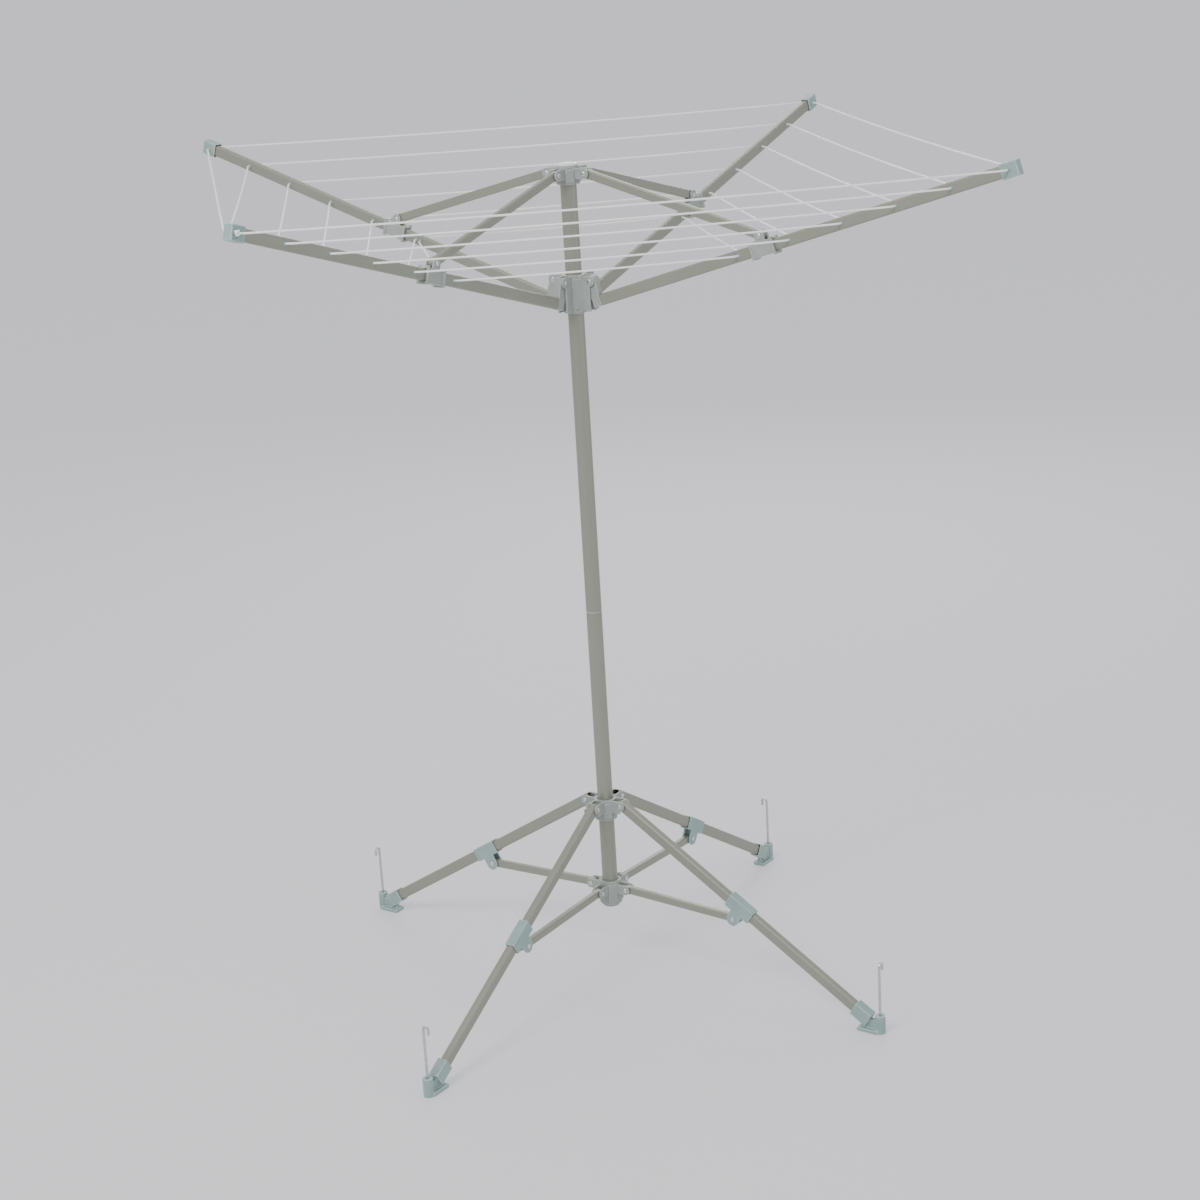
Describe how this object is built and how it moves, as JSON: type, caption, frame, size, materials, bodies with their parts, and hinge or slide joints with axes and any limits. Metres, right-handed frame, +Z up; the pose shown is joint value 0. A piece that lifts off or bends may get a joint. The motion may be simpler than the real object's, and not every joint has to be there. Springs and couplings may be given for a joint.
{
  "type": "rotary clothesline",
  "caption": "Free-standing folding rotary clothesline: a two-part mast with a turning head of strutted arms carrying a continuous line, on splayed folding legs with ground pegs.",
  "frame": {"origin": "on the ground under the middle of the mast", "axes": "+Z up along the mast, arms and legs on the diagonals between X and Y, so every run of line is parallel to X or Y or nearly so"},
  "size_m": [1.1912, 1.1912, 1.5137],
  "materials": {
    "tube_grey": "satin powder coat, olive grey",
    "hub_plastic": "moulded, satin",
    "fitting_plastic": "moulded, satin",
    "cap_white": "moulded, satin",
    "knob_plastic": "moulded, satin",
    "bush_plastic": "moulded",
    "rivet_steel": "zinc plated",
    "spigot_steel": "zinc plated",
    "peg_steel": "zinc plated wire",
    "line_white": "smooth PVC sheath"
  },
  "bodies": {
    "base": {"lower_mast_tube": "tube_grey", "mast_end_plug": "bush_plastic", "lower_hub": "hub_plastic", "lower_hub_pins": "rivet_steel", "spigot_tube": "spigot_steel"},
    "mast_ring": {"mast_bearing_ring": "bush_plastic"},
    "head": {"upper_mast_tube": "tube_grey", "mast_cap": "cap_white", "top_hub": "hub_plastic", "top_hub_pins": "rivet_steel"},
    "runner": {"arm_runner": "hub_plastic", "arm_runner_pins": "rivet_steel"},
    "runner_knob": {"runner_lock_knob": "knob_plastic"},
    "leg_slider": {"leg_hub": "hub_plastic", "leg_hub_rivets": "rivet_steel"},
    "leg_knob": {"leg_lock_knob": "knob_plastic"},
    "arm_1": {"arm_tube_1": "tube_grey", "arm_end_cap_1": "fitting_plastic", "arm_bracket_1": "hub_plastic", "arm_knuckle_1": "hub_plastic", "drying_line_1": "line_white"},
    "arm_strut_1": {"arm_strut_1": "tube_grey"},
    "leg_1": {"leg_tube_1": "tube_grey", "leg_bracket_1": "fitting_plastic", "leg_foot_1": "fitting_plastic"},
    "leg_strut_1": {"leg_strut_1": "tube_grey"},
    "peg_1": {"ground_peg_1": "peg_steel"},
    "arm_2": {"arm_tube_2": "tube_grey", "arm_end_cap_2": "fitting_plastic", "arm_bracket_2": "hub_plastic", "arm_knuckle_2": "hub_plastic", "drying_line_2": "line_white"},
    "arm_strut_2": {"arm_strut_2": "tube_grey"},
    "leg_2": {"leg_tube_2": "tube_grey", "leg_bracket_2": "fitting_plastic", "leg_foot_2": "fitting_plastic"},
    "leg_strut_2": {"leg_strut_2": "tube_grey"},
    "peg_2": {"ground_peg_2": "peg_steel"},
    "arm_3": {"arm_tube_3": "tube_grey", "arm_end_cap_3": "fitting_plastic", "arm_bracket_3": "hub_plastic", "arm_knuckle_3": "hub_plastic", "drying_line_3": "line_white"},
    "arm_strut_3": {"arm_strut_3": "tube_grey"},
    "leg_3": {"leg_tube_3": "tube_grey", "leg_bracket_3": "fitting_plastic", "leg_foot_3": "fitting_plastic"},
    "leg_strut_3": {"leg_strut_3": "tube_grey"},
    "peg_3": {"ground_peg_3": "peg_steel"},
    "arm_4": {"arm_tube_4": "tube_grey", "arm_end_cap_4": "fitting_plastic", "arm_bracket_4": "hub_plastic", "arm_knuckle_4": "hub_plastic", "drying_line_4": "line_white"},
    "arm_strut_4": {"arm_strut_4": "tube_grey"},
    "leg_4": {"leg_tube_4": "tube_grey", "leg_bracket_4": "fitting_plastic", "leg_foot_4": "fitting_plastic"},
    "leg_strut_4": {"leg_strut_4": "tube_grey"},
    "peg_4": {"ground_peg_4": "peg_steel"}
  },
  "joints": [
    {"name": "mast_lift", "type": "slide", "parent": "base", "child": "mast_ring", "axis": [0, 0, 1], "range_m": [0, 0.07]},
    {"name": "head_turn", "type": "hinge", "parent": "mast_ring", "child": "head", "pos_m": [0, 0, 0.694], "axis": [0, 0, 1], "continuous": true},
    {"name": "arm_fold", "type": "hinge", "parent": "head", "child": "arm_strut_1", "pos_m": [0.02687, 0.02687, 1.472], "axis": [-0.7071, 0.7071, 0], "range_deg": [0, 70], "deforming": ["drying_line_1", "drying_line_2", "drying_line_3", "drying_line_4"]},
    {"name": "arm_1_bracket_hinge", "type": "hinge", "parent": "arm_strut_1", "child": "arm_1", "pos_m": [0.26593, 0.26593, 1.38141], "axis": [0.7071, -0.7071, 0], "range_deg": [0, 140]},
    {"name": "runner_hinge", "type": "hinge", "parent": "arm_1", "child": "runner", "pos_m": [0.02687, 0.02687, 1.29083], "axis": [-0.7071, 0.7071, 0], "range_deg": [0, 70]},
    {"name": "arm_2_hinge", "type": "hinge", "parent": "runner", "child": "arm_2", "pos_m": [-0.02687, 0.02687, 1.29083], "axis": [0.7071, 0.7071, 0], "range_deg": [0, 70]},
    {"name": "arm_2_strut_hinge", "type": "hinge", "parent": "head", "child": "arm_strut_2", "pos_m": [-0.02687, 0.02687, 1.472], "axis": [-0.7071, -0.7071, 0], "range_deg": [0, 70]},
    {"name": "arm_3_hinge", "type": "hinge", "parent": "runner", "child": "arm_3", "pos_m": [-0.02687, -0.02687, 1.29083], "axis": [-0.7071, 0.7071, 0], "range_deg": [0, 70]},
    {"name": "arm_3_strut_hinge", "type": "hinge", "parent": "head", "child": "arm_strut_3", "pos_m": [-0.02687, -0.02687, 1.472], "axis": [0.7071, -0.7071, 0], "range_deg": [0, 70]},
    {"name": "arm_4_hinge", "type": "hinge", "parent": "runner", "child": "arm_4", "pos_m": [0.02687, -0.02687, 1.29083], "axis": [-0.7071, -0.7071, 0], "range_deg": [0, 70]},
    {"name": "arm_4_strut_hinge", "type": "hinge", "parent": "head", "child": "arm_strut_4", "pos_m": [0.02687, -0.02687, 1.472], "axis": [0.7071, 0.7071, 0], "range_deg": [0, 70]},
    {"name": "leg_fold", "type": "slide", "parent": "base", "child": "leg_slider", "axis": [0, 0, 1], "range_m": [0, 0.35436]},
    {"name": "leg_1_strut_hinge", "type": "hinge", "parent": "base", "child": "leg_strut_1", "pos_m": [0.02687, 0.02687, 0.164], "axis": [0.7071, -0.7071, 0], "range_deg": [0, 92.03]},
    {"name": "leg_1_bracket_hinge", "type": "hinge", "parent": "leg_strut_1", "child": "leg_1", "pos_m": [0.19018, 0.19018, 0.15584], "axis": [-0.7071, 0.7071, 0], "range_deg": [0, 145.01]},
    {"name": "peg_1_slide", "type": "slide", "parent": "leg_1", "child": "peg_1", "axis": [0, 0, 1], "range_m": [-0.08, 0.02]},
    {"name": "leg_2_strut_hinge", "type": "hinge", "parent": "base", "child": "leg_strut_2", "pos_m": [-0.02687, 0.02687, 0.164], "axis": [0.7071, 0.7071, 0], "range_deg": [0, 92.03]},
    {"name": "leg_2_bracket_hinge", "type": "hinge", "parent": "leg_strut_2", "child": "leg_2", "pos_m": [-0.19018, 0.19018, 0.15584], "axis": [-0.7071, -0.7071, 0], "range_deg": [0, 145.01]},
    {"name": "peg_2_slide", "type": "slide", "parent": "leg_2", "child": "peg_2", "axis": [0, 0, 1], "range_m": [-0.08, 0.02]},
    {"name": "leg_3_strut_hinge", "type": "hinge", "parent": "base", "child": "leg_strut_3", "pos_m": [-0.02687, -0.02687, 0.164], "axis": [-0.7071, 0.7071, 0], "range_deg": [0, 92.03]},
    {"name": "leg_3_bracket_hinge", "type": "hinge", "parent": "leg_strut_3", "child": "leg_3", "pos_m": [-0.19018, -0.19018, 0.15584], "axis": [0.7071, -0.7071, 0], "range_deg": [0, 145.01]},
    {"name": "peg_3_slide", "type": "slide", "parent": "leg_3", "child": "peg_3", "axis": [0, 0, 1], "range_m": [-0.08, 0.02]},
    {"name": "leg_4_strut_hinge", "type": "hinge", "parent": "base", "child": "leg_strut_4", "pos_m": [0.02687, -0.02687, 0.164], "axis": [-0.7071, -0.7071, 0], "range_deg": [0, 92.03]},
    {"name": "leg_4_bracket_hinge", "type": "hinge", "parent": "leg_strut_4", "child": "leg_4", "pos_m": [0.19018, -0.19018, 0.15584], "axis": [0.7071, 0.7071, 0], "range_deg": [0, 145.01]},
    {"name": "peg_4_slide", "type": "slide", "parent": "leg_4", "child": "peg_4", "axis": [0, 0, 1], "range_m": [-0.08, 0.02]},
    {"name": "runner_knob_turn", "type": "hinge", "parent": "runner", "child": "runner_knob", "pos_m": [0.03, 0, 1.24683], "axis": [1, 0, 0], "range_deg": [0, 540]},
    {"name": "leg_knob_turn", "type": "hinge", "parent": "leg_slider", "child": "leg_knob", "pos_m": [-0.03, 0, 0.31], "axis": [-1, 0, 0], "range_deg": [0, 540]}
  ],
  "couplings": [
    {"joint": "arm_1_bracket_hinge", "follows": "arm_fold", "ratio": 2},
    {"joint": "runner_hinge", "follows": "arm_fold", "ratio": 1},
    {"joint": "arm_2_hinge", "follows": "arm_fold", "ratio": 1},
    {"joint": "arm_2_strut_hinge", "follows": "arm_fold", "ratio": 1},
    {"joint": "arm_3_hinge", "follows": "arm_fold", "ratio": 1},
    {"joint": "arm_3_strut_hinge", "follows": "arm_fold", "ratio": 1},
    {"joint": "arm_4_hinge", "follows": "arm_fold", "ratio": 1},
    {"joint": "arm_4_strut_hinge", "follows": "arm_fold", "ratio": 1},
    {"joint": "leg_1_strut_hinge", "follows": "leg_fold", "rad_per_m": 4.5324},
    {"joint": "leg_1_bracket_hinge", "follows": "leg_fold", "rad_per_m": 7.1418},
    {"joint": "leg_2_strut_hinge", "follows": "leg_fold", "rad_per_m": 4.5324},
    {"joint": "leg_2_bracket_hinge", "follows": "leg_fold", "rad_per_m": 7.1418},
    {"joint": "leg_3_strut_hinge", "follows": "leg_fold", "rad_per_m": 4.5324},
    {"joint": "leg_3_bracket_hinge", "follows": "leg_fold", "rad_per_m": 7.1418},
    {"joint": "leg_4_strut_hinge", "follows": "leg_fold", "rad_per_m": 4.5324},
    {"joint": "leg_4_bracket_hinge", "follows": "leg_fold", "rad_per_m": 7.1418}
  ]
}
